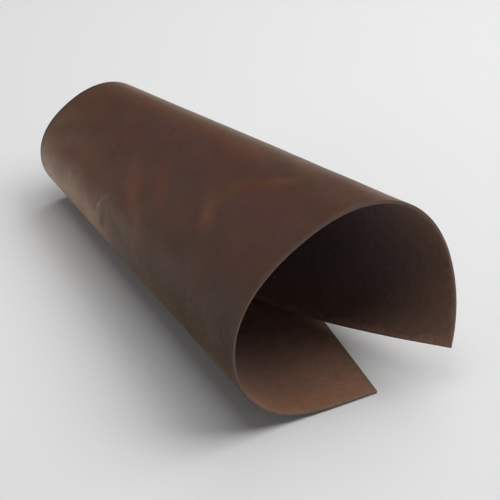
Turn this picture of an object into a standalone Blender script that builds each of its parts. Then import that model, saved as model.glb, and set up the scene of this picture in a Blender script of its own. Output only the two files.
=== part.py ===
"""A rectangular sheet of brown waxed leather, curled into a loose cone-shaped roll.

The sheet is one solid. It is drawn flat, scored along the straight lines that fan out of the
roll's apex, and curled about those lines. A cut sheet bends only this way without stretching.
The strip beside its lower edge stays flat and carries the roll. Units are metres, with +Z up;
the open mouth faces -Y, the lower edge is the +X one, and the origin is the centre of the
underside of the roll's box.
"""

import math
from typing import NamedTuple

import bmesh
import bpy
from mathutils import Quaternion, Vector

# The sheet as it was cut
SHEET_LENGTH = 0.297       # round the curl, from the lower edge to the free upper edge
SHEET_WIDTH = 0.210        # from the mouth to the far end
THICKNESS = 0.0016

# The cone that the sheet lies on
APEX_FROM_LOWER_EDGE = 0.117
APEX_FROM_MOUTH = 0.506
APEX_X = -0.009
APEX_Y = 0.413
MIDDLE_LINE_HEADING = math.radians(-100.5)   # from the apex towards the mouth, from +X

# Spacing of the lines
LINE_STEP = math.radians(0.4)


class Bend(NamedTuple):
    """How sharply the sheet bends along one line of the fan."""

    fan_deg: float      # the line's angle from the fan's middle line, rising round the curl
    curvature: float    # one over the bend's radius, measured level with the mouth


# The flat strip ends at the first line. The last line lies just past the free upper edge.
BENDS = (
    Bend(fan_deg=-12.0, curvature=0.0),
    Bend(fan_deg=-8.0, curvature=24.0),
    Bend(fan_deg=-4.0, curvature=22.0),
    Bend(fan_deg=0.0, curvature=23.0),
    Bend(fan_deg=4.0, curvature=10.0),
    Bend(fan_deg=8.0, curvature=19.0),
    Bend(fan_deg=12.0, curvature=27.0),
    Bend(fan_deg=16.0, curvature=18.0),
    Bend(fan_deg=20.0, curvature=24.0),
    Bend(fan_deg=24.0, curvature=26.0),
    Bend(fan_deg=28.0, curvature=28.0),
    Bend(fan_deg=32.0, curvature=30.0),
    Bend(fan_deg=36.0, curvature=32.0),
)

LEATHER_COLOUR = (0.075, 0.043, 0.032, 1.0)
LEATHER_ROUGHNESS = 0.5


class Line(NamedTuple):
    """One straight line of the curled sheet, all of which pass through the apex."""

    angle: float        # its angle in the flat sheet, from the fan's middle line
    direction: Vector   # from the apex along the sheet
    normal: Vector      # out of the flesh side, into the roll


def curvature_at(angle):
    """Return the sheet's curvature along the line at angle, smooth between the rows of BENDS."""
    spacing = math.radians(BENDS[1].fan_deg - BENDS[0].fan_deg)
    place = (angle - math.radians(BENDS[0].fan_deg)) / spacing
    if place <= 0.0:
        return 0.0
    row = min(int(place), len(BENDS) - 2)
    part = place - row
    before = BENDS[max(row - 1, 0)].curvature
    start = BENDS[row].curvature
    end = BENDS[row + 1].curvature
    after = BENDS[min(row + 2, len(BENDS) - 1)].curvature
    linear = end - before
    square = 2.0 * before - 5.0 * start + 4.0 * end - after
    cube = 3.0 * start - before - 3.0 * end + after
    return start + 0.5 * part * (linear + part * (square + part * cube))


def curled_on(line, step):
    """Return the line that lies a small angle further round the sheet."""
    bend = curvature_at(line.angle + step / 2.0) * APEX_FROM_MOUTH
    spin = -(bend * line.direction + line.normal)
    turn = Quaternion(spin, spin.length * step)
    return Line(line.angle + step, turn @ line.direction, turn @ line.normal)


def fan_of_lines():
    """Return the lines of the curled sheet, from its lower edge to its free upper edge."""
    far_end = APEX_FROM_MOUTH - SHEET_WIDTH
    first = math.atan2(-APEX_FROM_LOWER_EDGE, far_end)
    last = math.atan2(SHEET_LENGTH - APEX_FROM_LOWER_EDGE, far_end)
    heading = MIDDLE_LINE_HEADING - first
    along_lower_edge = Vector((math.cos(heading), math.sin(heading), 0.0))
    lines = [Line(first, along_lower_edge, Vector((0.0, 0.0, 1.0)))]
    for _ in range(math.ceil((last - first) / LINE_STEP)):
        lines.append(curled_on(lines[-1], LINE_STEP))
    return lines


def scored_sheet(lines):
    """Return a mesh of the flat sheet, with its apex at the origin and its mouth along +Y."""
    sheet = bmesh.new()
    bmesh.ops.create_grid(sheet, x_segments=1, y_segments=1, size=0.5)
    centre = Vector((
        SHEET_LENGTH / 2.0 - APEX_FROM_LOWER_EDGE,
        APEX_FROM_MOUTH - SHEET_WIDTH / 2.0,
        0.0,
    ))
    bmesh.ops.scale(sheet, vec=(SHEET_LENGTH, SHEET_WIDTH, 1.0), verts=sheet.verts)
    bmesh.ops.translate(sheet, vec=centre, verts=sheet.verts)
    for line in lines:
        bmesh.ops.bisect_plane(
            sheet,
            geom=sheet.verts[:] + sheet.edges[:] + sheet.faces[:],
            dist=1e-6,
            plane_co=(0.0, 0.0, 0.0),
            plane_no=(math.cos(line.angle), -math.sin(line.angle), 0.0),
        )
    return sheet


def curl(sheet, lines):
    """Move each point of the flat sheet to its place in the roll."""
    apex = Vector((APEX_X, APEX_Y, THICKNESS / 2.0))
    for vertex in sheet.verts:
        angle = math.atan2(vertex.co.x, vertex.co.y)
        reach = vertex.co.xy.length
        nearest = lines[min(int((angle - lines[0].angle) / LINE_STEP), len(lines) - 1)]
        vertex.co = apex + reach * curled_on(nearest, angle - nearest.angle).direction


def leather():
    """Return the leather's material."""
    material = bpy.data.materials.new("leather")
    material.use_nodes = True
    shader = material.node_tree.nodes["Principled BSDF"]
    shader.inputs["Base Color"].default_value = LEATHER_COLOUR
    shader.inputs["Roughness"].default_value = LEATHER_ROUGHNESS
    material.diffuse_color = LEATHER_COLOUR
    return material


def build():
    """Make the leather sheet."""
    for thing in list(bpy.data.objects):
        bpy.data.objects.remove(thing, do_unlink=True)

    lines = fan_of_lines()
    sheet = scored_sheet(lines)
    curl(sheet, lines)
    mesh = bpy.data.meshes.new("leather_sheet")
    sheet.to_mesh(mesh)
    sheet.free()
    mesh.shade_smooth()

    leather_sheet = bpy.data.objects.new("leather_sheet", mesh)
    leather_sheet.data.materials.append(leather())
    wall = leather_sheet.modifiers.new("wall", "SOLIDIFY")
    wall.thickness = THICKNESS
    wall.offset = 0.0
    wall.use_even_offset = True
    shading = leather_sheet.modifiers.new("shading", "WEIGHTED_NORMAL")
    shading.mode = "FACE_AREA"
    bpy.context.scene.collection.objects.link(leather_sheet)


build()
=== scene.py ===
"""A cut panel of brown pull-up leather, curled into a loose cone-shaped roll.

The panel is drawn flat at its cut size, with rounded cut edges, soft waves and fine creases. It is
then curled about straight lines that fan out of one apex, as a cut sheet curls without stretching.
Every finish reads a point's place in the flat panel, so grain, nap and marks follow the leather
round the curl. Units are metres, +Z is up, and the roll's open mouth faces -Y.
"""

import logging
import math
from collections.abc import Sequence
from dataclasses import dataclass
from enum import Enum, IntEnum

import bmesh
import bpy
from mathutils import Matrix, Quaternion, Vector, noise


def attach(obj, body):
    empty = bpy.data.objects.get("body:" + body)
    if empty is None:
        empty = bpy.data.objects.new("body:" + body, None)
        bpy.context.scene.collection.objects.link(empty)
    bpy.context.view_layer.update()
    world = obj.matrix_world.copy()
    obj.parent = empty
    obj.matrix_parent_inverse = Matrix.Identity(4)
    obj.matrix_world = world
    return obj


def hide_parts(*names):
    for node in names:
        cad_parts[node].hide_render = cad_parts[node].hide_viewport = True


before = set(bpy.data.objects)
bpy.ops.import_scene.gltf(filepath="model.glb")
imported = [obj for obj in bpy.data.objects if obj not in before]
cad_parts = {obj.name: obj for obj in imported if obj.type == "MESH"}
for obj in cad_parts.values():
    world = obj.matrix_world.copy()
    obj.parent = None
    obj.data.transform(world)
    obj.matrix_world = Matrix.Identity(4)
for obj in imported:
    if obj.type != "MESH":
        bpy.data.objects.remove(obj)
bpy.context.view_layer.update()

LOG = logging.getLogger("leather_roll")

PIECE = "leather_panel"
BODY = "root"
CAD_SHEET = "leather_sheet"

FLAT_PLACE = "flat_place"   # a point's place in the flat panel: round the curl, along it, and up

Colour = tuple[float, float, float, float]


class Side(IntEnum):
    """The three surfaces of the leather. A side's value is its material's place on the panel."""

    GRAIN = 0
    FLESH = 1
    CUT_EDGE = 2


# ---------------------------------------------------------------------------------------------
# The curl
# ---------------------------------------------------------------------------------------------


@dataclass(frozen=True)
class Bend:
    """How sharply the leather bends along one line of the fan.

    Attributes:
        fan_deg: The line's angle from the fan's middle line, rising round the curl.
        curvature: One over the bend's radius, measured level with the mouth.
    """

    fan_deg: float
    curvature: float


@dataclass(frozen=True)
class FanLine:
    """One straight line of the curled leather. Every such line passes through the apex.

    Attributes:
        angle: Its angle in the flat panel, from the fan's middle line.
        direction: From the apex along the leather.
        normal: Out of the flesh side, into the roll.
    """

    angle: float
    direction: Vector
    normal: Vector


@dataclass(frozen=True)
class Curl:
    """The cone that the leather lies on once it is curled.

    The flat panel is measured from the same apex: x across the fan and y towards the mouth.

    Attributes:
        apex: Where all the straight lines would meet, past the far end.
        middle_heading: The middle line's heading before it is curled, from +X.
        from_mouth: The apex's distance from the mouth, in the flat panel.
        bends: The bends, from the end of the flat strip to the free upper edge, evenly spaced.
        line_step: The angle between neighbouring lines that the curl is worked out on.
    """

    apex: Vector
    middle_heading: float
    from_mouth: float
    bends: tuple[Bend, ...]
    line_step: float = math.radians(0.4)

    def curvature_at(self, angle: float) -> float:
        """Return the leather's curvature along one line, smooth between the bends.

        Args:
            angle: The line's angle from the fan's middle line.

        Returns:
            One over the radius, level with the mouth. It is 0 on the flat strip.
        """
        spacing = math.radians(self.bends[1].fan_deg - self.bends[0].fan_deg)
        place = (angle - math.radians(self.bends[0].fan_deg)) / spacing
        if place <= 0.0:
            return 0.0
        row = min(int(place), len(self.bends) - 2)
        part = place - row
        before = self.bends[max(row - 1, 0)].curvature
        start = self.bends[row].curvature
        end = self.bends[row + 1].curvature
        after = self.bends[min(row + 2, len(self.bends) - 1)].curvature
        linear = end - before
        square = 2.0 * before - 5.0 * start + 4.0 * end - after
        cube = 3.0 * start - before - 3.0 * end + after
        return start + 0.5 * part * (linear + part * (square + part * cube))

    def curled_on(self, line: FanLine, step: float) -> FanLine:
        """Return the line that lies a small angle further round the curl.

        Args:
            line: The line to start from.
            step: The angle to go on by, in the flat panel.

        Returns:
            The next line.
        """
        bend = self.curvature_at(line.angle + step / 2.0) * self.from_mouth
        spin = -(bend * line.direction + line.normal)
        turn = Quaternion(spin, spin.length * step)
        return FanLine(line.angle + step, turn @ line.direction, turn @ line.normal)

    def fan(self, first: float, last: float) -> list[FanLine]:
        """Return the lines of the curled leather.

        Args:
            first: The angle of the line through the lower edge's far corner.
            last: The angle of the line through the upper edge's far corner.

        Returns:
            The lines from first to just past last, one line step apart.
        """
        heading = self.middle_heading - first
        along_lower_edge = Vector((math.cos(heading), math.sin(heading), 0.0))
        lines = [FanLine(first, along_lower_edge, Vector((0.0, 0.0, 1.0)))]
        for _ in range(math.ceil((last - first) / self.line_step)):
            lines.append(self.curled_on(lines[-1], self.line_step))
        return lines

    def placed(self, lines: Sequence[FanLine], flat: Vector) -> Vector:
        """Return where a point of the flat panel lies in the roll.

        Args:
            lines: The curl's lines.
            flat: The point in the flat panel, from the apex, with z towards the flesh side.

        Returns:
            Its place in the roll.
        """
        angle = math.atan2(flat.x, flat.y)
        nearest = lines[min(int((angle - lines[0].angle) / self.line_step), len(lines) - 1)]
        line = self.curled_on(nearest, angle - nearest.angle)
        return self.apex + flat.xy.length * line.direction + flat.z * line.normal


# ---------------------------------------------------------------------------------------------
# The leather panel
# ---------------------------------------------------------------------------------------------


CREASE_END = 1.5     # half lengths from its middle, past which a crease has no depth
CREASE_SIDE = 3.0    # half widths from its middle line, likewise


@dataclass(frozen=True)
class Crease:
    """A fine crease in the grain side: a soft trough with a low shoulder on either side.

    Attributes:
        round_curl: Its middle's distance from the lower edge.
        along: Its middle's distance from the mouth.
        heading_deg: Its direction, from round the curl towards the far end.
        length: From end to end.
        width: Of the trough.
        depth: Of the trough at its middle.
    """

    round_curl: float
    along: float
    heading_deg: float
    length: float
    width: float
    depth: float

    def sinks(self, round_curl: float, along: float) -> float:
        """Return how far the crease sinks the surface at one point.

        Args:
            round_curl: The point's distance from the lower edge.
            along: The point's distance from the mouth.

        Returns:
            The depth there, below 0 on the shoulders.
        """
        heading = math.radians(self.heading_deg)
        right = round_curl - self.round_curl
        up = along - self.along
        lengthwise = (right * math.cos(heading) + up * math.sin(heading)) / (0.5 * self.length)
        if abs(lengthwise) > CREASE_END:
            return 0.0
        across = (up * math.cos(heading) - right * math.sin(heading)) / (0.5 * self.width)
        across_squared = across * across
        if across_squared > CREASE_SIDE ** 2:
            return 0.0
        profile = (1.0 - across_squared) * math.exp(-0.5 * across_squared)
        return self.depth * profile * math.exp(-2.0 * lengthwise ** 4)


@dataclass(frozen=True)
class Wave:
    """Unevenness of the leather, as soft random waves.

    Attributes:
        size: The usual distance between neighbouring crests.
        height: How far a crest rises above the mean.
        seed: Where in the noise the waves are taken from.
    """

    size: float
    height: float
    seed: float

    def rise(self, round_curl: float, along: float) -> float:
        """Return how far the waves lift the leather at one point, towards the flesh side."""
        spot = Vector((2.0 * round_curl / self.size, 2.0 * along / self.size, self.seed))
        return self.height * noise.noise(spot)


WHOLE_EDGE_SHARE = 0.9    # only edges that run the whole way are longer, as a share of the panel
LEVEL_NORMAL = 0.99       # only faces of the grain and flesh sides have steeper normals


@dataclass(frozen=True)
class LeatherPanel:
    """The curled leather panel, the only piece of the object.

    Attributes:
        length: Round the curl, from the lower edge to the free upper edge.
        width: From the mouth to the far end.
        thickness: Of the leather.
        edge_round: The radius that cutting and handling leave on the cut edges.
        edge_steps: The number of facets round that radius.
        cell: The size of one facet of the grain and flesh sides.
        lower_edge_from_apex: The apex's distance from the lower edge, across the fan.
        curl: The cone that the panel is curled on.
        body_waves: Unevenness that the whole thickness follows.
        nap_waves: Unevenness of the flesh side alone.
        creases: Fine creases in the grain side.
        settled_deg: The fan angles between which the waves grow from nothing, so that the strip
            that the panel rests on stays flat.
    """

    length: float
    width: float
    thickness: float
    edge_round: float
    edge_steps: int
    cell: float
    lower_edge_from_apex: float
    curl: Curl
    body_waves: tuple[Wave, ...]
    nap_waves: tuple[Wave, ...]
    creases: tuple[Crease, ...]
    settled_deg: tuple[float, float]

    def build(self, finishes: Sequence[bpy.types.Material]) -> bpy.types.Object:
        """Make the panel, dress it and tell the frame what it rides on and replaces.

        Args:
            finishes: A material for each Side, in order.

        Returns:
            The finished piece.
        """
        sheet = self._drawn_flat()
        self._keep_flat_places(sheet)
        self._sort_sides(sheet)
        self._raise_surface(sheet)
        self._curl_up(sheet)
        mesh = bpy.data.meshes.new(PIECE)
        sheet.to_mesh(mesh)
        sheet.free()
        mesh.shade_smooth()
        for finish in finishes:
            mesh.materials.append(finish)
        panel = bpy.data.objects.new(PIECE, mesh)
        bpy.context.scene.collection.objects.link(panel)
        shading = panel.modifiers.new("shading", "WEIGHTED_NORMAL")
        shading.mode = "FACE_AREA"
        self._declare(panel)
        return panel

    def _drawn_flat(self) -> bmesh.types.BMesh:
        """Return the flat panel, measured from the apex, with rounded edges and even cells.

        Returns:
            The flat panel.
        """
        middle = Vector((
            self.length / 2.0 - self.lower_edge_from_apex,
            self.curl.from_mouth - self.width / 2.0,
            0.0,
        ))
        sheet = bmesh.new()
        bmesh.ops.create_cube(sheet, size=1.0)
        bmesh.ops.scale(sheet, vec=(self.length, self.width, self.thickness), verts=sheet.verts)
        bmesh.ops.translate(sheet, vec=middle, verts=sheet.verts)
        bmesh.ops.bevel(
            sheet,
            geom=sheet.edges[:],
            offset=self.edge_round,
            segments=self.edge_steps,
            profile=0.5,
            affect="EDGES",
            material=-1,
        )
        self._divide(sheet, Vector((1.0, 0.0, 0.0)), self.length)
        self._divide(sheet, Vector((0.0, 1.0, 0.0)), self.width)
        return sheet

    def _divide(self, sheet: bmesh.types.BMesh, way: Vector, size: float) -> None:
        """Divide the panel into cells one way.

        Args:
            sheet: The flat panel.
            way: The direction of the edges to divide, those that run the panel's whole size.
            size: The panel's size that way.
        """
        whole_edges = [
            edge
            for edge in sheet.edges
            if abs((edge.verts[1].co - edge.verts[0].co).dot(way)) > WHOLE_EDGE_SHARE * size
        ]
        cuts = round(size / self.cell) - 1
        bmesh.ops.subdivide_edges(sheet, edges=whole_edges, cuts=cuts, use_grid_fill=True)

    def _cut_place(self, flat: Vector) -> Vector:
        """Return a flat point's distances from the lower edge and the mouth, and its height."""
        return Vector((flat.x + self.lower_edge_from_apex, self.curl.from_mouth - flat.y, flat.z))

    def _keep_flat_places(self, sheet: bmesh.types.BMesh) -> None:
        """Write each point's place in the flat panel where the finishes can read it.

        Args:
            sheet: The flat panel.
        """
        layer = sheet.verts.layers.float_vector.new(FLAT_PLACE)
        for vertex in sheet.verts:
            vertex[layer] = self._cut_place(vertex.co)

    def _sort_sides(self, sheet: bmesh.types.BMesh) -> None:
        """Give each face of the flat panel the finish of its side.

        Args:
            sheet: The flat panel.
        """
        sheet.normal_update()
        for face in sheet.faces:
            if face.normal.z > LEVEL_NORMAL:
                face.material_index = Side.FLESH
            elif face.normal.z < -LEVEL_NORMAL:
                face.material_index = Side.GRAIN
            else:
                face.material_index = Side.CUT_EDGE

    def _raise_surface(self, sheet: bmesh.types.BMesh) -> None:
        """Give the flat panel its waves, its napped flesh side and its creases.

        Args:
            sheet: The flat panel.
        """
        settled, free = (math.radians(angle) for angle in self.settled_deg)
        for vertex in sheet.verts:
            place = self._cut_place(vertex.co)
            looseness = (math.atan2(vertex.co.x, vertex.co.y) - settled) / (free - settled)
            looseness = min(max(looseness, 0.0), 1.0)
            lift = looseness * sum(wave.rise(place.x, place.y) for wave in self.body_waves)
            if place.z > 0.0:
                lift += sum(wave.rise(place.x, place.y) for wave in self.nap_waves)
            else:
                lift += looseness * sum(crease.sinks(place.x, place.y) for crease in self.creases)
            vertex.co.z += lift

    def _curl_up(self, sheet: bmesh.types.BMesh) -> None:
        """Curl the flat panel into the roll.

        Args:
            sheet: The flat panel.
        """
        far_end = self.curl.from_mouth - self.width
        first = math.atan2(-self.lower_edge_from_apex, far_end)
        last = math.atan2(self.length - self.lower_edge_from_apex, far_end)
        lines = self.curl.fan(first, last)
        for vertex in sheet.verts:
            vertex.co = self.curl.placed(lines, vertex.co)

    def _declare(self, panel: bpy.types.Object) -> None:
        """Tell the frame what the panel rides on and replaces.

        Args:
            panel: The finished piece.
        """
        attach(panel, BODY)
        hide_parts(CAD_SHEET)


LOOSE_CURL = Curl(
    apex=Vector((-0.009, 0.413, 0.0008)),    # half the leather's thickness up
    middle_heading=math.radians(-100.5),
    from_mouth=0.506,
    bends=(
        # Curvatures fitted to the roll by least squares, then rounded one by one
        Bend(fan_deg=-12.0, curvature=0.0),
        Bend(fan_deg=-8.0, curvature=24.0),
        Bend(fan_deg=-4.0, curvature=22.0),
        Bend(fan_deg=0.0, curvature=23.0),
        Bend(fan_deg=4.0, curvature=10.0),
        Bend(fan_deg=8.0, curvature=19.0),
        Bend(fan_deg=12.0, curvature=27.0),
        Bend(fan_deg=16.0, curvature=18.0),
        Bend(fan_deg=20.0, curvature=24.0),
        Bend(fan_deg=24.0, curvature=26.0),
        Bend(fan_deg=28.0, curvature=28.0),
        Bend(fan_deg=32.0, curvature=30.0),
        Bend(fan_deg=36.0, curvature=32.0),
    ),
)

# Round the curl, along, heading, length, width and depth
CREASES = (
    Crease(0.1000, 0.1400, -42.0, 0.015, 0.0026, 0.00016),
    Crease(0.1085, 0.1378, -28.0, 0.014, 0.0030, 0.00018),
    Crease(0.1148, 0.1335, -52.0, 0.012, 0.0026, 0.00014),
    Crease(0.1090, 0.1302, -14.0, 0.012, 0.0023, 0.00012),
    Crease(0.1110, 0.1263, -8.0, 0.013, 0.0023, 0.00012),
    Crease(0.1105, 0.1218, 6.0, 0.012, 0.0023, 0.00010),
    Crease(0.0965, 0.1490, -55.0, 0.014, 0.0026, 0.00011),
    Crease(0.1020, 0.1560, 105.0, 0.018, 0.0030, 0.00010),
    Crease(0.1080, 0.1520, 100.0, 0.016, 0.0028, 0.00009),
    Crease(0.1070, 0.1180, 100.0, 0.016, 0.0028, 0.00008),
)

PANEL = LeatherPanel(
    length=0.297,
    width=0.210,
    thickness=0.0016,
    edge_round=0.00025,
    edge_steps=2,
    cell=0.00125,
    lower_edge_from_apex=0.117,
    curl=LOOSE_CURL,
    body_waves=(Wave(0.060, 0.00022, 3.1), Wave(0.022, 0.00005, 8.4)),
    nap_waves=(Wave(0.005, 0.00003, 1.7),),
    creases=CREASES,
    settled_deg=(-12.0, -5.0),
)


# ---------------------------------------------------------------------------------------------
# Wiring of shader nodes
# ---------------------------------------------------------------------------------------------

Socket = bpy.types.NodeSocket
Feed = Socket | float | tuple

NOISE_MEAN = 0.5                  # of each of a noise's values
NOISE_MIDDLE = (NOISE_MEAN, NOISE_MEAN, NOISE_MEAN)
NOISE_BAND = (0.3, 0.7)           # holds most of a noise's values

MIX_SHARE, MIX_FIRST, MIX_SECOND = 0, 6, 7    # places of a Mix node's inputs for two colours
MIX_RESULT = 2                                # place of its output for a colour


class Wiring:
    """Adds nodes to one node tree and joins them."""

    def __init__(self, tree: bpy.types.NodeTree) -> None:
        """Start wiring a tree."""
        self.tree = tree

    def feed(self, socket: Socket, value: Feed) -> None:
        """Join another socket to this one, or set its value.

        Args:
            socket: The input socket.
            value: What it takes: an output socket, a number or a tuple of numbers.
        """
        if isinstance(value, Socket):
            self.tree.links.new(value, socket)
        else:
            socket.default_value = value

    def node(self, kind: str, feeds: dict[str | int, Feed], **settings: object) -> bpy.types.Node:
        """Add one node.

        Args:
            kind: The node's Blender type.
            feeds: What each named or numbered input takes.
            **settings: The node's own settings.

        Returns:
            The node.
        """
        node = self.tree.nodes.new(kind)
        for name, value in settings.items():
            setattr(node, name, value)
        for key, value in feeds.items():
            self.feed(node.inputs[key], value)
        return node

    def value_of(self, operation: str, *values: Feed, clamp: bool = False) -> Socket:
        """Work out one value from others.

        Args:
            operation: A Math node's operation.
            *values: Its operands.
            clamp: Whether the result is kept between 0 and 1.

        Returns:
            The result.
        """
        feeds = dict(enumerate(values))
        node = self.node("ShaderNodeMath", feeds, operation=operation, use_clamp=clamp)
        return node.outputs[0]

    def vector_of(self, operation: str, *vectors: Feed) -> Socket:
        """Work out one vector from others, by a Vector Math node's operation."""
        feeds = dict(enumerate(vectors))
        return self.node("ShaderNodeVectorMath", feeds, operation=operation).outputs[0]

    def scaled(self, vector: Socket, factor: Feed) -> Socket:
        """Return a vector or colour times a number."""
        feeds = {0: vector, "Scale": factor}
        return self.node("ShaderNodeVectorMath", feeds, operation="SCALE").outputs[0]

    def turned(self, place: Socket, angle: Feed) -> Socket:
        """Return a flat place turned by an angle about the origin."""
        feeds = {"Vector": place, "Angle": angle}
        return self.node("ShaderNodeVectorRotate", feeds, rotation_type="Z_AXIS").outputs[0]

    def parts_of(self, vector: Socket) -> tuple[Socket, ...]:
        """Return a vector's three parts."""
        return tuple(self.node("ShaderNodeSeparateXYZ", {0: vector}).outputs)

    def spread(
        self, value: Feed, low: Feed, high: Feed, to: tuple[float, float] = (0.0, 1.0)
    ) -> Socket:
        """Spread a range of one value smoothly over another range.

        Args:
            value: The value.
            low: Where the range starts.
            high: Where it ends.
            to: What the two ends become.

        Returns:
            The spread value.
        """
        feeds = {
            "Value": value,
            "From Min": low,
            "From Max": high,
            "To Min": to[0],
            "To Max": to[1],
        }
        node = self.node("ShaderNodeMapRange", feeds, interpolation_type="SMOOTHSTEP")
        return node.outputs["Result"]

    def varied(self, cloud: Socket, least: float, most: float) -> Socket:
        """Return soft noise spread between two values."""
        return self.spread(cloud, *NOISE_BAND, to=(least, most))

    def blend(self, share: Feed, first: Feed, second: Feed) -> Socket:
        """Return the first colour with a share of the second blended in."""
        feeds = {MIX_SHARE: share, MIX_FIRST: first, MIX_SECOND: second}
        return self.node("ShaderNodeMix", feeds, data_type="RGBA").outputs[MIX_RESULT]

    def cloud(self, place: Socket, size: Feed, detail: float = 2.0, seed: Feed = 0.0) -> Socket:
        """Return soft noise from 0 to 1.

        Args:
            place: Where it is read.
            size: The size of its blots.
            detail: How many finer layers it has.
            seed: Which of many such noises it is.

        Returns:
            The noise.
        """
        scale = self.value_of("DIVIDE", 1.0, size) if isinstance(size, Socket) else 1.0 / size
        feeds = {"Vector": place, "W": seed, "Scale": scale, "Detail": detail}
        return self.node("ShaderNodeTexNoise", feeds, noise_dimensions="4D").outputs[0]

    def strayed(self, place: Socket, size: float, reach: Feed) -> Socket:
        """Return a place that noise has moved aside, so that what is read there has frayed borders.

        Args:
            place: The place.
            size: The size of the noise's blots.
            reach: How far it moves things.

        Returns:
            The moved place.
        """
        feeds = {"Vector": place, "Scale": 1.0 / size, "Detail": 2.0}
        stray = self.node("ShaderNodeTexNoise", feeds).outputs[1]
        centred = self.vector_of("SUBTRACT", stray, NOISE_MIDDLE)
        return self.vector_of("ADD", place, self.scaled(centred, reach))

    def bump(self, height: Socket, distance: float, strength: float) -> Socket:
        """Return the normals of a surface that is uneven in height."""
        feeds = {"Height": height, "Distance": distance, "Strength": strength}
        return self.node("ShaderNodeBump", feeds).outputs[0]


# ---------------------------------------------------------------------------------------------
# The effects that the finishes are made of
# ---------------------------------------------------------------------------------------------


class PortKind(Enum):
    """The kinds of socket that an effect has."""

    VALUE = "NodeSocketFloat"
    VECTOR = "NodeSocketVector"


@dataclass(frozen=True)
class Port:
    """One named socket of an effect.

    Attributes:
        name: What it is called.
        kind: What goes through it.
        default: What an unset input is.
    """

    name: str
    kind: PortKind = PortKind.VALUE
    default: float | None = None


PLACE = Port("Place", PortKind.VECTOR)


class Effect:
    """A shader node group that is built once and placed in each finish with its own values.

    Attributes:
        title: The group's name.
        takes: Its inputs.
        gives: Its outputs.
    """

    title: str
    takes: tuple[Port, ...]
    gives: tuple[Port, ...]

    def wire(self, inside: Wiring, given: dict[str, Socket]) -> dict[str, Socket]:
        """Add the effect's own nodes, from its inputs by name, and return its outputs by name."""
        raise NotImplementedError

    def _tree(self) -> bpy.types.NodeTree:
        """Return the effect's node group, made when it is first asked for.

        Returns:
            The node group.
        """
        made = bpy.data.node_groups.get(self.title)
        if made is not None:
            return made
        tree = bpy.data.node_groups.new(self.title, "ShaderNodeTree")
        for in_out, ports in (("INPUT", self.takes), ("OUTPUT", self.gives)):
            for port in ports:
                socket = tree.interface.new_socket(
                    name=port.name, in_out=in_out, socket_type=port.kind.value
                )
                if port.default is not None:
                    socket.default_value = port.default
        inside = Wiring(tree)
        inputs = inside.node("NodeGroupInput", {}).outputs
        given = {socket.name: socket for socket in inputs if socket.name}
        inside.node("NodeGroupOutput", self.wire(inside, given))
        return tree

    def put(self, wiring: Wiring, place: Socket, **feeds: Feed) -> bpy.types.Node:
        """Place the effect in a finish. An underscore in an input's name stands for a space."""
        named = {name.replace("_", " "): value for name, value in feeds.items()}
        return wiring.node("ShaderNodeGroup", {"Place": place, **named}, node_tree=self._tree())

    def over(self, wiring: Wiring, place: Socket, **feeds: Feed) -> Socket:
        """Place the effect in a finish and return its first output."""
        return self.put(wiring, place, **feeds).outputs[0]


class ToneDrift(Effect):
    """Slow drift of tone over the leather, as soft blots with frayed borders."""

    title = "tone drift"
    takes = (
        PLACE,
        Port("Size", default=0.03),
        Port("Seed", default=0.0),
        Port("Softness", default=0.3),
    )
    gives = (Port("Mask"),)

    def wire(self, inside: Wiring, given: dict[str, Socket]) -> dict[str, Socket]:
        """Cut soft blots out of noise.

        Args:
            inside: The group's wiring.
            given: Its inputs, by name.

        Returns:
            Its outputs, by name.
        """
        blots = inside.cloud(given["Place"], given["Size"], detail=3.0, seed=given["Seed"])
        half_soft = inside.value_of("MULTIPLY", given["Softness"], 0.5)
        low = inside.value_of("SUBTRACT", NOISE_MEAN, half_soft)
        high = inside.value_of("ADD", NOISE_MEAN, half_soft)
        return {"Mask": inside.spread(blots, low, high)}


class DyeDrift(Effect):
    """Slight drift of the dye's hue, in streaks along the leather."""

    title = "dye drift"
    takes = (
        PLACE,
        Port("Size", default=0.012),
        Port("Reach", default=0.25),
        Port("Seed", default=0.0),
    )
    gives = (Port("Tone", PortKind.VECTOR),)

    streak: tuple[float, ...] = (1.0, 0.55, 1.0)     # draws the blots out along the leather
    unchanged: tuple[float, ...] = (1.0, 1.0, 1.0)   # the tone that changes nothing

    def wire(self, inside: Wiring, given: dict[str, Socket]) -> dict[str, Socket]:
        """Let the three parts of the colour drift apart a little.

        Args:
            inside: The group's wiring.
            given: Its inputs, by name.

        Returns:
            Its outputs, by name.
        """
        drawn_out = inside.vector_of("MULTIPLY", given["Place"], self.streak)
        scale = inside.value_of("DIVIDE", 1.0, given["Size"])
        feeds = {"Vector": drawn_out, "W": given["Seed"], "Scale": scale, "Detail": 3.0}
        blots = inside.node("ShaderNodeTexNoise", feeds, noise_dimensions="4D").outputs[1]
        centred = inside.vector_of("SUBTRACT", blots, NOISE_MIDDLE)
        both_ways = inside.value_of("MULTIPLY", given["Reach"], 2.0)
        shift = inside.scaled(centred, both_ways)
        return {"Tone": inside.vector_of("ADD", shift, self.unchanged)}


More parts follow.
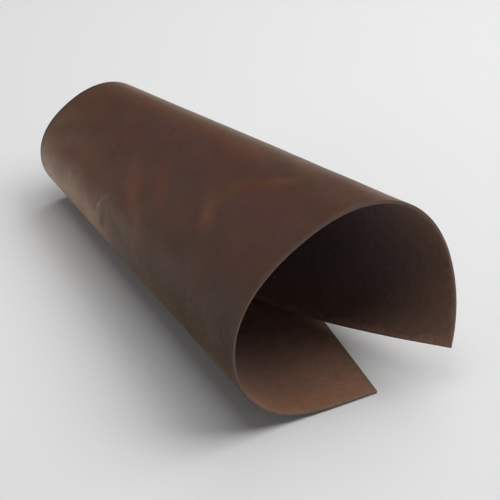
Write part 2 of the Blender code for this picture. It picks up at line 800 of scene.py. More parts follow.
class SoftMark(Effect):
    """One long soft mark, such as where a bend has pushed the wax aside."""

    title = "soft mark"
    takes = (
        PLACE,
        Port("Centre", PortKind.VECTOR),
        Port("Heading", default=0.0),
        Port("Length", default=0.02),
        Port("Width", default=0.006),
        Port("Strength", default=1.0),
    )
    gives = (Port("Mask"),)

    fray_size: float = 0.007
    fray_share: float = 0.8       # of the mark's width
    longest_fray: float = 0.006
    streak_size: float = 0.003
    streak_band: tuple[float, float] = (0.25, 0.65)   # the noise of weak streaks and full ones
    weak_streak: float = 0.6      # how much of the mark shows in it

    def wire(self, inside: Wiring, given: dict[str, Socket]) -> dict[str, Socket]:
        """Fade out from the mark's middle, with a frayed outline and fine streaks.

        Args:
            inside: The group's wiring.
            given: Its inputs, by name.

        Returns:
            Its outputs, by name.
        """
        reach = inside.value_of("MULTIPLY", given["Width"], self.fray_share)
        reach = inside.value_of("MINIMUM", reach, self.longest_fray)
        frayed = inside.strayed(given["Place"], self.fray_size, reach)
        from_centre = inside.vector_of("SUBTRACT", frayed, given["Centre"])
        back = inside.value_of("MULTIPLY", given["Heading"], -1.0)
        along, aside, _ = inside.parts_of(inside.turned(from_centre, back))
        lengthwise = self._squared_share(inside, along, given["Length"])
        across = self._squared_share(inside, aside, given["Width"])
        apart = inside.value_of("ADD", lengthwise, across)
        fade = inside.value_of("EXPONENT", inside.value_of("MULTIPLY", apart, -1.0))
        cloud = inside.cloud(given["Place"], self.streak_size)
        streaks = inside.spread(cloud, *self.streak_band, to=(self.weak_streak, 1.0))
        streaked = inside.value_of("MULTIPLY", fade, streaks)
        return {"Mask": inside.value_of("MULTIPLY", streaked, given["Strength"], clamp=True)}

    def _squared_share(self, inside: Wiring, distance: Socket, size: Socket) -> Socket:
        """Return the square of a distance, measured in halves of the mark's size that way.

        Args:
            inside: The group's wiring.
            distance: The distance from the mark's middle.
            size: The mark's size.

        Returns:
            The square. It is 1 on the mark's outline.
        """
        half = inside.value_of("MULTIPLY", size, 0.5)
        share = inside.value_of("DIVIDE", distance, half)
        return inside.value_of("MULTIPLY", share, share)


class Fibres(Effect):
    """Fine tangled fibres, brushed one way."""

    title = "fibres"
    takes = (
        PLACE,
        Port("Size", default=0.0006),
        Port("Stretch", PortKind.VECTOR),
        Port("Heading", default=0.0),
        Port("Tangle", default=0.002),
    )
    gives = (Port("Height"), Port("Mask"))

    tangle_size: float = 0.006
    fibre_band: tuple[float, float] = (0.38, 0.62)   # the heights of gaps and of fibres

    def wire(self, inside: Wiring, given: dict[str, Socket]) -> dict[str, Socket]:
        """Stretch fine noise along a brushed direction that wanders.

        Args:
            inside: The group's wiring.
            given: Its inputs, by name.

        Returns:
            Its outputs, by name.
        """
        tangled = inside.strayed(given["Place"], self.tangle_size, given["Tangle"])
        turned = inside.turned(tangled, given["Heading"])
        drawn_out = inside.vector_of("MULTIPLY", turned, given["Stretch"])
        height = inside.cloud(drawn_out, given["Size"], detail=4.0)
        return {"Height": height, "Mask": inside.spread(height, *self.fibre_band)}


class HairCells(Effect):
    """The fine polygonal cells and pores of the grain side."""

    title = "hair cells"
    takes = (PLACE, Port("Size", default=0.0009), Port("Unevenness", default=0.0004))
    gives = (Port("Height"),)

    wander_size: float = 1.0 / 700.0   # of the noise that bends the cells' borders
    groove: float = 0.28               # width of the groove round a cell, as a share of its size
    pore_scale: float = 0.62           # how many pores there are for each cell, along a line
    pore_rim: float = 0.16             # a pore's radius, as a share of the pores' distance
    pore_floor: float = 0.06           # the radius of its floor, likewise
    pore_depth: float = 0.6            # as a share of the cells' height

    def wire(self, inside: Wiring, given: dict[str, Socket]) -> dict[str, Socket]:
        """Round off small cells whose borders wander, and prick pores between them.

        Args:
            inside: The group's wiring.
            given: Its inputs, by name.

        Returns:
            Its outputs, by name.
        """
        place = inside.strayed(given["Place"], self.wander_size, given["Unevenness"])
        scale = inside.value_of("DIVIDE", 1.0, given["Size"])
        feeds = {"Vector": place, "Scale": scale}
        border = inside.node("ShaderNodeTexVoronoi", feeds, feature="DISTANCE_TO_EDGE")
        cells = inside.spread(border.outputs["Distance"], 0.0, self.groove)
        pore_scale = inside.value_of("MULTIPLY", scale, self.pore_scale)
        middle = inside.node("ShaderNodeTexVoronoi", {"Vector": place, "Scale": pore_scale})
        pores = inside.spread(middle.outputs["Distance"], self.pore_rim, self.pore_floor)
        sunk = inside.value_of("MULTIPLY", pores, self.pore_depth)
        return {"Height": inside.value_of("SUBTRACT", cells, sunk)}


class EdgeWear(Effect):
    """Wear along the panel's four cut edges, with an uneven inner border."""

    title = "edge wear"
    takes = (
        PLACE,
        Port("Panel Length", default=PANEL.length),
        Port("Panel Width", default=PANEL.width),
        Port("Reach", default=0.003),
    )
    gives = (Port("Mask"),)

    uneven_size: float = 0.004
    uneven_shares: tuple[float, float] = (0.3, 1.3)   # least and most of its reach that is worn

    def wire(self, inside: Wiring, given: dict[str, Socket]) -> dict[str, Socket]:
        """Fade inwards from the nearest cut edge.

        Args:
            inside: The group's wiring.
            given: Its inputs, by name.

        Returns:
            Its outputs, by name.
        """
        round_curl, along, _ = inside.parts_of(given["Place"])
        to_upper = inside.value_of("SUBTRACT", given["Panel Length"], round_curl)
        to_far = inside.value_of("SUBTRACT", given["Panel Width"], along)
        one_way = inside.value_of("MINIMUM", round_curl, to_upper)
        other_way = inside.value_of("MINIMUM", along, to_far)
        nearest = inside.value_of("MINIMUM", one_way, other_way)
        cloud = inside.cloud(given["Place"], self.uneven_size, detail=3.0)
        uneven = inside.varied(cloud, *self.uneven_shares)
        reach = inside.value_of("MULTIPLY", given["Reach"], uneven)
        return {"Mask": inside.spread(nearest, reach, 0.0)}


# ---------------------------------------------------------------------------------------------
# The finishes
# ---------------------------------------------------------------------------------------------


class Tint(Enum):
    """The tones that marks on the grain side take."""

    BLOOM = (0.060, 0.0238, 0.0180, 1.0)       # greyer, and in part painted gloss
    PULLED_UP = (0.120, 0.041, 0.016, 1.0)     # orange, where the wax was pushed aside
    STRETCHED_AND_PAINTED_LIGHT = (0.325, 0.172, 0.088, 1.0)     # pale where stretched, and in part painted light
    REDDISH = (0.098, 0.0215, 0.0090, 1.0)     # where the dye is redder
    OLIVE = (0.078, 0.034, 0.005, 1.0)         # where it is yellower
    DARK = (0.022, 0.0055, 0.0015, 1.0)        # nearly black
    CREASED = (0.330, 0.190, 0.105, 1.0)       # palest, where a crease has cracked the wax


@dataclass(frozen=True)
class Mark:
    """One soft mark on the grain side.

    Attributes:
        tint: Its tone.
        round_curl: Its middle's distance from the lower edge.
        along: Its middle's distance from the mouth.
        heading_deg: Its direction, from round the curl towards the far end.
        length: From end to end.
        width: From side to side.
        strength: How much of its tone shows.
    """

    tint: Tint
    round_curl: float
    along: float
    heading_deg: float
    length: float
    width: float
    strength: float


# Tint, round the curl, along, heading, length, width and strength
MARKS = (
    # The back of the roll, a little greyer. Part of this is painted gloss and not the leather's own
    # colour
    Mark(Tint.BLOOM, 0.1590, 0.1050, 91.0, 0.420, 0.0360, 1.00),
    Mark(Tint.BLOOM, 0.1305, 0.1790, 104.0, 0.050, 0.0110, 1.00),
    # The paler side, of stretched leather and in part painted light from a white ground
    Mark(Tint.STRETCHED_AND_PAINTED_LIGHT, 0.0965, 0.1500, 90.0, 0.042, 0.0290, 0.90),
    Mark(Tint.STRETCHED_AND_PAINTED_LIGHT, 0.0970, 0.1720, 92.0, 0.044, 0.0340, 1.00),
    Mark(Tint.STRETCHED_AND_PAINTED_LIGHT, 0.1020, 0.1980, 95.0, 0.044, 0.0440, 0.90),
    Mark(Tint.STRETCHED_AND_PAINTED_LIGHT, 0.0890, 0.1900, 95.0, 0.050, 0.0160, 0.60),
    Mark(Tint.STRETCHED_AND_PAINTED_LIGHT, 0.1120, 0.1130, 80.0, 0.030, 0.0090, 0.20),
    Mark(Tint.STRETCHED_AND_PAINTED_LIGHT, 0.1075, 0.1330, 60.0, 0.016, 0.0100, 0.22),
    Mark(Tint.STRETCHED_AND_PAINTED_LIGHT, 0.1180, 0.0990, 30.0, 0.014, 0.0080, 0.20),
    # Bends and rubs that pushed the wax aside
    Mark(Tint.PULLED_UP, 0.1430, 0.0580, 47.0, 0.024, 0.0070, 0.85),
    Mark(Tint.PULLED_UP, 0.1720, 0.0485, -50.0, 0.018, 0.0060, 0.40),
    Mark(Tint.PULLED_UP, 0.1268, 0.1138, 48.0, 0.032, 0.0120, 1.00),
    Mark(Tint.PULLED_UP, 0.1205, 0.1480, 92.0, 0.100, 0.0270, 0.42),
    Mark(Tint.PULLED_UP, 0.1240, 0.1630, 105.0, 0.034, 0.0110, 0.60),
    Mark(Tint.PULLED_UP, 0.1560, 0.2060, 5.0, 0.100, 0.0500, 0.16),
    Mark(Tint.PULLED_UP, 0.1180, 0.1860, 105.0, 0.036, 0.0150, 0.45),
    Mark(Tint.PULLED_UP, 0.1160, 0.0900, 85.0, 0.050, 0.0150, 0.42),
    Mark(Tint.PULLED_UP, 0.1200, 0.1430, 60.0, 0.018, 0.0080, 0.35),
    Mark(Tint.PULLED_UP, 0.1160, 0.0800, 84.0, 0.060, 0.0120, 0.30),
    Mark(Tint.PULLED_UP, 0.1870, 0.0900, 70.0, 0.034, 0.0060, 0.40),
    Mark(Tint.PULLED_UP, 0.1920, 0.0500, 85.0, 0.030, 0.0060, 0.45),
    Mark(Tint.PULLED_UP, 0.2030, 0.0120, 80.0, 0.030, 0.0080, 0.25),
    # Where the dye is redder
    Mark(Tint.REDDISH, 0.1385, 0.0980, 53.0, 0.025, 0.0080, 0.95),
    Mark(Tint.REDDISH, 0.1275, 0.1160, 48.0, 0.022, 0.0120, 0.45),
    Mark(Tint.REDDISH, 0.1205, 0.1790, 109.0, 0.040, 0.0095, 1.00),
    Mark(Tint.REDDISH, 0.1135, 0.1480, 60.0, 0.016, 0.0130, 0.80),
    Mark(Tint.REDDISH, 0.1700, 0.1600, 95.0, 0.080, 0.0100, 0.50),
    Mark(Tint.REDDISH, 0.1680, 0.1310, 60.0, 0.020, 0.0080, 0.50),
    Mark(Tint.REDDISH, 0.1790, 0.1030, 70.0, 0.040, 0.0070, 0.55),
    Mark(Tint.REDDISH, 0.1650, 0.0520, 120.0, 0.020, 0.0060, 0.50),
    Mark(Tint.REDDISH, 0.1870, 0.0770, 50.0, 0.016, 0.0070, 0.60),
    # Where the dye is yellower
    Mark(Tint.OLIVE, 0.1575, 0.0575, -20.0, 0.012, 0.0080, 0.70),
    Mark(Tint.OLIVE, 0.1745, 0.0440, -50.0, 0.014, 0.0060, 0.60),
    Mark(Tint.OLIVE, 0.1230, 0.1560, 95.0, 0.020, 0.0070, 0.50),
    Mark(Tint.OLIVE, 0.1150, 0.0870, 80.0, 0.034, 0.0070, 0.35),
    Mark(Tint.OLIVE, 0.1075, 0.1870, 95.0, 0.022, 0.0060, 0.45),
    Mark(Tint.OLIVE, 0.1180, 0.1670, 100.0, 0.022, 0.0080, 0.45),
    Mark(Tint.OLIVE, 0.1790, 0.1550, 95.0, 0.090, 0.0110, 0.90),
    Mark(Tint.OLIVE, 0.1580, 0.2080, 3.0, 0.080, 0.0320, 0.30),
    Mark(Tint.OLIVE, 0.1880, 0.1250, 84.0, 0.070, 0.0100, 0.60),
    Mark(Tint.OLIVE, 0.1690, 0.1920, 80.0, 0.026, 0.0100, 0.50),
    Mark(Tint.OLIVE, 0.1900, 0.0750, 88.0, 0.060, 0.0120, 0.30),
    # Dark patches and small knocks. The first, wide one is painted shade and a painted reflection
    # of the dark ground under the roll, not of the leather, and can be left out in another light
    Mark(Tint.DARK, 0.0840, 0.0350, 92.0, 0.155, 0.0500, 0.95),
    Mark(Tint.DARK, 0.1990, 0.0150, 85.0, 0.090, 0.0180, 0.30),
    Mark(Tint.DARK, 0.1035, 0.1320, 160.0, 0.012, 0.0060, 0.55),
    Mark(Tint.DARK, 0.1290, 0.1920, 112.0, 0.040, 0.0100, 0.38),
    Mark(Tint.DARK, 0.1630, 0.1270, 30.0, 0.005, 0.0030, 0.75),
    Mark(Tint.DARK, 0.1710, 0.1300, 60.0, 0.007, 0.0040, 0.40),
    Mark(Tint.DARK, 0.1830, 0.0480, 100.0, 0.016, 0.0060, 0.45),
    Mark(Tint.DARK, 0.1360, 0.1450, 40.0, 0.012, 0.0070, 0.25),
    # Along the fine creases
    Mark(Tint.CREASED, 0.1000, 0.1400, -42.0, 0.013, 0.0018, 0.32),
    Mark(Tint.CREASED, 0.1085, 0.1378, -28.0, 0.012, 0.0020, 0.38),
    Mark(Tint.CREASED, 0.1148, 0.1335, -52.0, 0.010, 0.0018, 0.22),
    Mark(Tint.CREASED, 0.0960, 0.1500, -60.0, 0.012, 0.0016, 0.20),
    Mark(Tint.CREASED, 0.1090, 0.1314, -14.0, 0.010, 0.0015, 0.20),
    Mark(Tint.CREASED, 0.1110, 0.1275, -8.0, 0.011, 0.0015, 0.20),
    Mark(Tint.CREASED, 0.1105, 0.1229, 6.0, 0.010, 0.0015, 0.18),
    Mark(Tint.CREASED, 0.1110, 0.1180, 100.0, 0.012, 0.0018, 0.12),
    Mark(Tint.CREASED, 0.1040, 0.1600, 100.0, 0.014, 0.0016, 0.16),
)


@dataclass(frozen=True)
class Fade:
    """A value that changes smoothly while another goes from one limit to the other.

    Attributes:
        start: The first limit.
        end: The second limit. It may be the lower one.
        before: The value before the start.
        after: The value past the end.
    """

    start: float
    end: float
    before: float = 0.0
    after: float = 1.0

    def over(self, wiring: Wiring, leader: Socket) -> Socket:
        """Return the value as another one leads it."""
        return wiring.spread(leader, self.start, self.end, to=(self.before, self.after))


class Finish:
    """What the finishes of the leather share.

    Attributes:
        name: The material's name.
    """

    name: str

    def material(self) -> bpy.types.Material:
        """Return the finish as a material.

        Returns:
            A new material.
        """
        material = bpy.data.materials.new(self.name)
        material.use_nodes = True
        wiring = Wiring(material.node_tree)
        shader = material.node_tree.nodes["Principled BSDF"]
        place = wiring.node("ShaderNodeAttribute", {}, attribute_name=FLAT_PLACE).outputs["Vector"]
        self._dress(wiring, shader, place)
        return material

    def _dress(self, wiring: Wiring, shader: bpy.types.Node, place: Socket) -> None:
        """Wire the shader, from the flat place of each point."""
        raise NotImplementedError


@dataclass(frozen=True)
class PullUpGrain(Finish):
    """The outer side: dark brown leather whose wax has been pushed aside where it was bent.

    Attributes:
        base: The leather's main tone.
        warm: The tone that the main one drifts to.
        deep: The tone of the darkest blots.
        deep_share: How much of it these blots take.
        worn: The tone of worn edges.
        worn_share: How much of it they take.
        far_end_dark_tone: The tone of a thin dark line along the far end.
        far_end_darkening: How strong that line is, by the distance from the mouth.
        specks: The least and the most that fine specks leave of the tone.
        roughness: The least and the most of it.
        dark_matt: What a dark mark adds to the roughness.
        wax: The weight of the coat of wax, by the strength of a dark mark.
        pooled_wax: What a mark of stretched leather and painted light adds to that weight, for
            the glow of a white ground.
        marks: The soft marks.
        name: The material's name.
    """

    base: Colour = (0.0560, 0.0168, 0.0068, 1.0)
    warm: Colour = (0.0660, 0.0189, 0.0070, 1.0)
    deep: Colour = (0.0450, 0.0153, 0.0077, 1.0)
    deep_share: float = 0.6
    worn: Colour = (0.120, 0.072, 0.045, 1.0)
    worn_share: float = 0.35
    far_end_dark_tone: Colour = (0.012, 0.007, 0.004, 1.0)
    far_end_darkening: Fade = Fade(0.2081, 0.2091)
    specks: tuple[float, float] = (0.90, 1.10)
    roughness: tuple[float, float] = (0.44, 0.56)
    dark_matt: float = 0.50
    wax: Fade = Fade(0.0, 0.8, before=0.36, after=0.0)
    pooled_wax: float = 0.60
    marks: tuple[Mark, ...] = MARKS
    name: str = "waxed grain"

    def _dress(self, wiring: Wiring, shader: bpy.types.Node, place: Socket) -> None:
        """Wire the shader.

        Args:
            wiring: The finish's wiring.
            shader: Its shader.
            place: The flat place of each point.
        """
        masks = {tint: self._mask(wiring, place, tint) for tint in Tint}
        wiring.feed(shader.inputs["Base Color"], self._colour(wiring, place, masks))
        smears = wiring.cloud(place, size=0.018, detail=4.0, seed=5.2)
        matt = wiring.value_of("MULTIPLY", masks[Tint.DARK], self.dark_matt)
        roughness = wiring.value_of("ADD", wiring.varied(smears, *self.roughness), matt)
        wiring.feed(shader.inputs["Roughness"], roughness)
        cells = HairCells().over(wiring, place, Size=0.0008, Unevenness=0.0005)
        wiring.feed(shader.inputs["Normal"], wiring.bump(cells, distance=0.00004, strength=0.5))
        shader.inputs["Specular IOR Level"].default_value = 0.40
        shader.inputs["Sheen Weight"].default_value = 0.25
        shader.inputs["Sheen Roughness"].default_value = 0.35
        shader.inputs["Sheen Tint"].default_value = (1.0, 0.70, 0.32, 1.0)
        waxed = self.wax.over(wiring, masks[Tint.DARK])
        pooled = wiring.value_of("MULTIPLY", masks[Tint.STRETCHED_AND_PAINTED_LIGHT], self.pooled_wax)
        coat = wiring.value_of("ADD", waxed, pooled, clamp=True)
        wiring.feed(shader.inputs["Coat Weight"], coat)
        shader.inputs["Coat Roughness"].default_value = 0.20
        shader.inputs["Coat IOR"].default_value = 1.1

    def _mask(self, wiring: Wiring, place: Socket, tint: Tint) -> Socket:
        """Return where the marks of one tint show.

        Args:
            wiring: The finish's wiring.
            place: The flat place of each point.
            tint: The marks' tone, which at least one mark has.

        Returns:
            The mask.
        """
        masks = [
            SoftMark().over(
                wiring,
                place,
                Centre=(mark.round_curl, mark.along, -PANEL.thickness / 2.0),
                Heading=math.radians(mark.heading_deg),
                Length=mark.length,
                Width=mark.width,
                Strength=mark.strength,
            )
            for mark in self.marks
            if mark.tint is tint
        ]
        whole = masks[0]
        for mask in masks[1:]:
            whole = wiring.value_of("MAXIMUM", whole, mask)
        return whole

    def _colour(self, wiring: Wiring, place: Socket, masks: dict[Tint, Socket]) -> Socket:
        """Return the colour, marks and all.

        Args:
            wiring: The finish's wiring.
            place: The flat place of each point.
            masks: Where the marks of each tint show, in the order that they lie over each other.

        Returns:
            The colour.
        """
        warm = ToneDrift().over(wiring, place, Size=0.034, Seed=2.3, Softness=0.30)
        colour = wiring.blend(warm, self.base, self.warm)
        deep = ToneDrift().over(wiring, place, Size=0.021, Seed=7.9, Softness=0.34)
        colour = wiring.blend(wiring.value_of("MULTIPLY", deep, self.deep_share), colour, self.deep)
        for tint, mask in masks.items():
            colour = wiring.blend(mask, colour, tint.value)
        wear = EdgeWear().over(wiring, place, Reach=0.0022)
        colour = wiring.blend(wiring.value_of("MULTIPLY", wear, self.worn_share), colour, self.worn)
        _, along, _ = wiring.parts_of(place)
        # A thin dark line along the far end
        colour = wiring.blend(self.far_end_darkening.over(wiring, along), colour, self.far_end_dark_tone)
        dye = DyeDrift().over(wiring, place, Size=0.009, Reach=0.26, Seed=1.4)
        colour = wiring.vector_of("MULTIPLY", colour, dye)
        specks = wiring.cloud(place, size=0.0012, detail=3.0)
        return wiring.scaled(colour, wiring.varied(specks, *self.specks))


@dataclass(frozen=True)
class NappedFlesh(Finish):
    """The inner side: paler leather with a short brushed nap.

    Attributes:
        base: The leather's main tone.
        shade: The tone that the main one drifts to.
        warm: The tone of the flat strip and the bend beside it.
        warming: How much of it shows, by the distance from the lower edge.
        pale: The tone along the lower edge.
        paling: How much of it shows, by the same distance.
        stray_light_grey: A greyer, bluer tone deep inside the roll: painted stray light, not the
            leather's own colour.
        stray_light_inward: How much of it shows, by the distance from the mouth.
        stray_light_from_lower: What the lower edge leaves of that, by the distance from it.
        stray_light_from_upper: The same for the free upper edge, by the distance from the lower
            one.
        crept: The tone of a long stain at the mouth, where dye crept round the edge.
        fuzz: The tone of the fibres that stand up along the cut edges.
        pale_fuzz: The same, towards the free upper edge.
        fuzz_paling: How far the fibres go to it, by the distance from the lower edge.
        fuzz_share: How much of their tone shows at the very edge.
        tufted: The least and the most that tufts leave of the tone.
        brushed: The same for single fibres.
        name: The material's name.
    """

    base: Colour = (0.174, 0.095, 0.065, 1.0)
    shade: Colour = (0.162, 0.090, 0.062, 1.0)
    warm: Colour = (0.178, 0.087, 0.053, 1.0)
    warming: Fade = Fade(0.120, 0.060)
    pale: Colour = (0.232, 0.117, 0.071, 1.0)
    paling: Fade = Fade(0.055, 0.0)
    stray_light_grey: Colour = (0.146, 0.098, 0.102, 1.0)
    stray_light_inward: Fade = Fade(0.0, 0.050)
    stray_light_from_lower: Fade = Fade(0.030, 0.120, before=0.35)
    stray_light_from_upper: Fade = Fade(0.297, 0.262, before=0.10)
    crept: Colour = (0.236, 0.102, 0.047, 1.0)
    fuzz: Colour = (0.195, 0.117, 0.078, 1.0)
    pale_fuzz: Colour = (0.250, 0.138, 0.098, 1.0)
    fuzz_paling: Fade = Fade(0.150, 0.220)
    fuzz_share: float = 0.9
    tufted: tuple[float, float] = (0.92, 1.07)
    brushed: tuple[float, float] = (0.89, 1.10)
    name: str = "napped flesh"

    def _dress(self, wiring: Wiring, shader: bpy.types.Node, place: Socket) -> None:
        """Wire the shader.

        Args:
            wiring: The finish's wiring.
            shader: Its shader.
            place: The flat place of each point.
        """
        nap = Fibres().over(
            wiring, place, Size=0.0008, Stretch=(0.45, 1.0, 1.0), Heading=0.4, Tangle=0.006
        )
        brushed = wiring.varied(nap, *self.brushed)
        colour = wiring.scaled(self._colour(wiring, place), brushed)
        wiring.feed(shader.inputs["Base Color"], colour)
        shader.inputs["Roughness"].default_value = 0.85
        shader.inputs["Specular IOR Level"].default_value = 0.25
        shader.inputs["Sheen Weight"].default_value = 0.15
        shader.inputs["Sheen Roughness"].default_value = 0.5
        shader.inputs["Sheen Tint"].default_value = (0.9, 0.75, 0.6, 1.0)
        wiring.feed(shader.inputs["Normal"], wiring.bump(nap, distance=0.00008, strength=0.6))

    def _colour(self, wiring: Wiring, place: Socket) -> Socket:
        """Return the colour under the nap.

        Args:
            wiring: The finish's wiring.
            place: The flat place of each point.

        Returns:
            The colour.
        """
        round_curl, along, _ = wiring.parts_of(place)
        drift = ToneDrift().over(wiring, place, Size=0.026, Seed=4.4, Softness=0.4)
        colour = wiring.blend(drift, self.base, self.shade)
        colour = wiring.blend(self.warming.over(wiring, round_curl), colour, self.warm)
        colour = wiring.blend(self.paling.over(wiring, round_curl), colour, self.pale)
        # Painted stray light: a greyer, bluer tone deep inside the roll
        colour = wiring.blend(self._stray_light_share(wiring, round_curl, along), colour, self.stray_light_grey)
        stain = SoftMark().over(
            wiring,
            place,
            Centre=(0.036, 0.0060, PANEL.thickness / 2.0),
            Heading=0.09,
            Length=0.056,
            Width=0.0085,
            Strength=0.55,
        )
        colour = wiring.blend(stain, colour, self.crept)
        fuzz = wiring.blend(self.fuzz_paling.over(wiring, round_curl), self.fuzz, self.pale_fuzz)
        raised = EdgeWear().over(wiring, place, Reach=0.0060)
        colour = wiring.blend(wiring.value_of("MULTIPLY", raised, self.fuzz_share), colour, fuzz)
        dye = DyeDrift().over(wiring, place, Size=0.004, Reach=0.10, Seed=6.1)
        colour = wiring.vector_of("MULTIPLY", colour, dye)
        tufts = Fibres().over(
            wiring, place, Size=0.0026, Stretch=(0.4, 1.0, 1.0), Heading=-0.2, Tangle=0.006
        )
        return wiring.scaled(colour, wiring.varied(tufts, *self.tufted))

    def _stray_light_share(self, wiring: Wiring, round_curl: Socket, along: Socket) -> Socket:
        """Return how much of the painted stray light deep inside the roll shows.

        Args:
            wiring: The finish's wiring.
            round_curl: The distance from the lower edge.
            along: The distance from the mouth.

        Returns:
            The share.
        """
        inner = self.stray_light_inward.over(wiring, along)
        from_lower = self.stray_light_from_lower.over(wiring, round_curl)
        from_upper = self.stray_light_from_upper.over(wiring, round_curl)
        from_edges = wiring.value_of("MULTIPLY", from_lower, from_upper)
        return wiring.value_of("MULTIPLY", inner, from_edges)


@dataclass(frozen=True)
class CutEdge(Finish):
    """The cut edge: fibres of the leather's thickness under a thin dark grain layer.

    Attributes:
        fibre: The tone of the fibres.
        painted_lit_fibre: A paler tone along the lower edge and the bend beside it: painted light,
            not the fibres' own colour.
        paling: How far they go to it, by the distance from the lower edge.
        gap: The tone between the fibres.
        grain_layer: The tone of the grain layer.
        skin: How much of it shows, by the height above the leather's middle.
        name: The material's name.
    """

    fibre: Colour = (0.180, 0.118, 0.098, 1.0)
    painted_lit_fibre: Colour = (0.300, 0.200, 0.155, 1.0)
    paling: Fade = Fade(0.100, 0.035)
    gap: Colour = (0.105, 0.066, 0.053, 1.0)
    grain_layer: Colour = (0.085, 0.050, 0.036, 1.0)
    skin: Fade = Fade(-0.0004, -0.0006)
    name: str = "cut edge"

    def _dress(self, wiring: Wiring, shader: bpy.types.Node, place: Socket) -> None:
        """Wire the shader.

        Args:
            wiring: The finish's wiring.
            shader: Its shader.
            place: The flat place of each point.
        """
        fibres = Fibres().put(
            wiring, place, Size=0.0005, Stretch=(1.0, 1.0, 3.0), Heading=0.0, Tangle=0.001
        )
        round_curl, _, height = wiring.parts_of(place)
        # Painted light: the fibres along the lower edge take a paler tone
        fibre = wiring.blend(self.paling.over(wiring, round_curl), self.fibre, self.painted_lit_fibre)
        colour = wiring.blend(fibres.outputs["Mask"], self.gap, fibre)
        colour = wiring.blend(self.skin.over(wiring, height), colour, self.grain_layer)
        wiring.feed(shader.inputs["Base Color"], colour)
        shader.inputs["Roughness"].default_value = 0.8
        shader.inputs["Specular IOR Level"].default_value = 0.3
        fray = wiring.bump(fibres.outputs["Height"], distance=0.0001, strength=0.6)
        wiring.feed(shader.inputs["Normal"], fray)


# ---------------------------------------------------------------------------------------------
# The studio
# ---------------------------------------------------------------------------------------------


@dataclass(frozen=True)
class Softbox:
    """One soft square light, aimed at the middle of the roll.

    Attributes:
        name: What it is called.
        heading: Where it hangs, clockwise from +Y as seen from above, in degrees.
        height: Its angle above the floor, in degrees.
        distance: From the roll.
        size: Its side.
        power: In watts.
    """

    name: str
    heading: float
    height: float
    distance: float
    size: float
    power: float

    def hang(self, aim: Vector) -> None:
        """Add the light to the scene.

        Args:
            aim: What it points at.
        """
        heading = math.radians(self.heading)
        height = math.radians(self.height)
        way_out = Vector((
            math.sin(heading) * math.cos(height),
            math.cos(heading) * math.cos(height),
            math.sin(height),
        ))
        light = bpy.data.lights.new(self.name, "AREA")
        light.shape = "SQUARE"
        light.size = self.size
        light.energy = self.power
        holder = bpy.data.objects.new(self.name, light)
        holder.rotation_euler = way_out.to_track_quat("Z", "Y").to_euler()
        holder.location = aim + self.distance * way_out
        bpy.context.scene.collection.objects.link(holder)


@dataclass(frozen=True)
class Camera:
    """The camera.

    Attributes:
        aim: What it looks at.
        distance: How far it stands from there.
        heading: Its heading, clockwise from +Y.
        fall: How far it looks down.
        roll: How far its right side is turned down.
        lens_mm: Its focal length, on a frame of frame_mm.
        frame_mm: The width of its square frame.
    """

    aim: Vector
    distance: float
    heading: float
    fall: float
    roll: float
    lens_mm: float
    frame_mm: float = 36.0

    def place(self) -> None:
        """Add the camera to the scene and look through it."""
        lens = bpy.data.cameras.new("camera")
        lens.lens = self.lens_mm
        lens.sensor_width = self.frame_mm
        lens.clip_start = 0.01
        camera = bpy.data.objects.new("camera", lens)
        look = Vector((
            math.sin(self.heading) * math.cos(self.fall),
            math.cos(self.heading) * math.cos(self.fall),
            -math.sin(self.fall),
        ))
        turn = Quaternion(look, self.roll) @ look.to_track_quat("-Z", "Y")
        camera.rotation_euler = turn.to_euler()
        camera.location = self.aim - self.distance * look
        bpy.context.scene.collection.objects.link(camera)
        bpy.context.scene.camera = camera


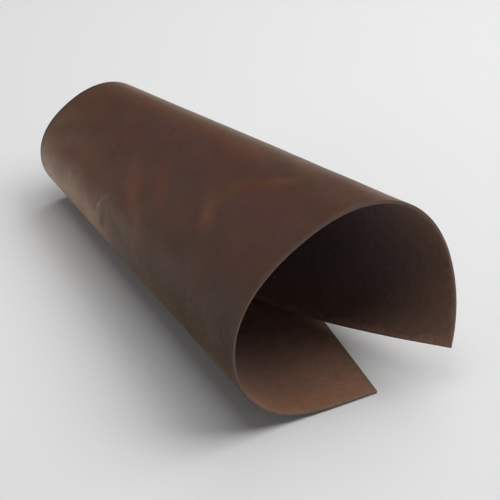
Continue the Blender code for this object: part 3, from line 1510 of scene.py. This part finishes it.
@dataclass(frozen=True)
class Studio:
    """A plain pale floor under soft light from all round.

    Attributes:
        floor_size: The floor's side.
        floor_drop: How far the floor lies under the leather.
        floor_colour: Of the floor.
        sky_colour: Of the light from all round.
        sky_strength: Of that light.
        softboxes: The soft lights.
        camera: The camera.
    """

    floor_size: float
    floor_drop: float
    floor_colour: Colour
    sky_colour: Colour
    sky_strength: float
    softboxes: tuple[Softbox, ...]
    camera: Camera

    def set_up(self) -> None:
        """Add the floor, the lights and the camera."""
        self._lay_floor()
        self._light_sky()
        for softbox in self.softboxes:
            softbox.hang(self.camera.aim)
        self.camera.place()
        bpy.context.scene.view_settings.view_transform = "Standard"

    def _lay_floor(self) -> None:
        """Add the floor."""
        sheet = bmesh.new()
        bmesh.ops.create_grid(sheet, x_segments=1, y_segments=1, size=self.floor_size / 2.0)
        bmesh.ops.translate(sheet, vec=(0.0, 0.0, -self.floor_drop), verts=sheet.verts)
        mesh = bpy.data.meshes.new("floor")
        sheet.to_mesh(mesh)
        sheet.free()
        paint = bpy.data.materials.new("floor paint")
        paint.use_nodes = True
        shader = paint.node_tree.nodes["Principled BSDF"]
        shader.inputs["Base Color"].default_value = self.floor_colour
        shader.inputs["Roughness"].default_value = 0.9
        shader.inputs["Specular IOR Level"].default_value = 0.1
        mesh.materials.append(paint)
        floor = bpy.data.objects.new("floor", mesh)
        bpy.context.scene.collection.objects.link(floor)

    def _light_sky(self) -> None:
        """Light the scene evenly from all round."""
        world = bpy.data.worlds.new("soft white")
        world.use_nodes = True
        background = world.node_tree.nodes["Background"]
        background.inputs["Color"].default_value = self.sky_colour
        background.inputs["Strength"].default_value = self.sky_strength
        bpy.context.scene.world = world


STUDIO = Studio(
    floor_size=8.0,
    floor_drop=0.0002,
    floor_colour=(0.74, 0.74, 0.74, 1.0),
    sky_colour=(1.0, 1.0, 1.0, 1.0),
    sky_strength=0.06,
    softboxes=(
        Softbox("key softbox", heading=115.0, height=55.0, distance=1.3, size=0.8, power=10.0),
        Softbox("back softbox", heading=60.0, height=55.0, distance=1.3, size=0.8, power=4.8),
        Softbox("overhead softbox", heading=0.0, height=90.0, distance=1.3, size=0.8, power=5.6),
        Softbox("front fill", heading=185.0, height=25.0, distance=1.3, size=0.8, power=0.8),
        Softbox("left rim", heading=335.0, height=25.0, distance=1.3, size=0.8, power=1.2),
        Softbox("left fill", heading=294.0, height=14.0, distance=1.3, size=0.6, power=2.3),
    ),
    camera=Camera(
        aim=Vector((0.004, -0.0185, 0.0334)),
        distance=0.6887,
        heading=math.radians(34.64),
        fall=math.radians(38.98),
        roll=math.radians(1.16),
        lens_mm=102.0,
    ),
)


def main() -> None:
    """Build the leather panel and its studio."""
    logging.basicConfig(level=logging.INFO, format="%(name)s: %(message)s")
    LOG.info("frame: %d CAD node", len(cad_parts))
    finishes = (PullUpGrain(), NappedFlesh(), CutEdge())
    panel = PANEL.build([finish.material() for finish in finishes])
    LOG.info("%s: %d faces, %d finishes", panel.name, len(panel.data.polygons), len(finishes))
    STUDIO.set_up()
    LOG.info("studio: %d softboxes", len(STUDIO.softboxes))


if __name__ == "__main__":
    main()
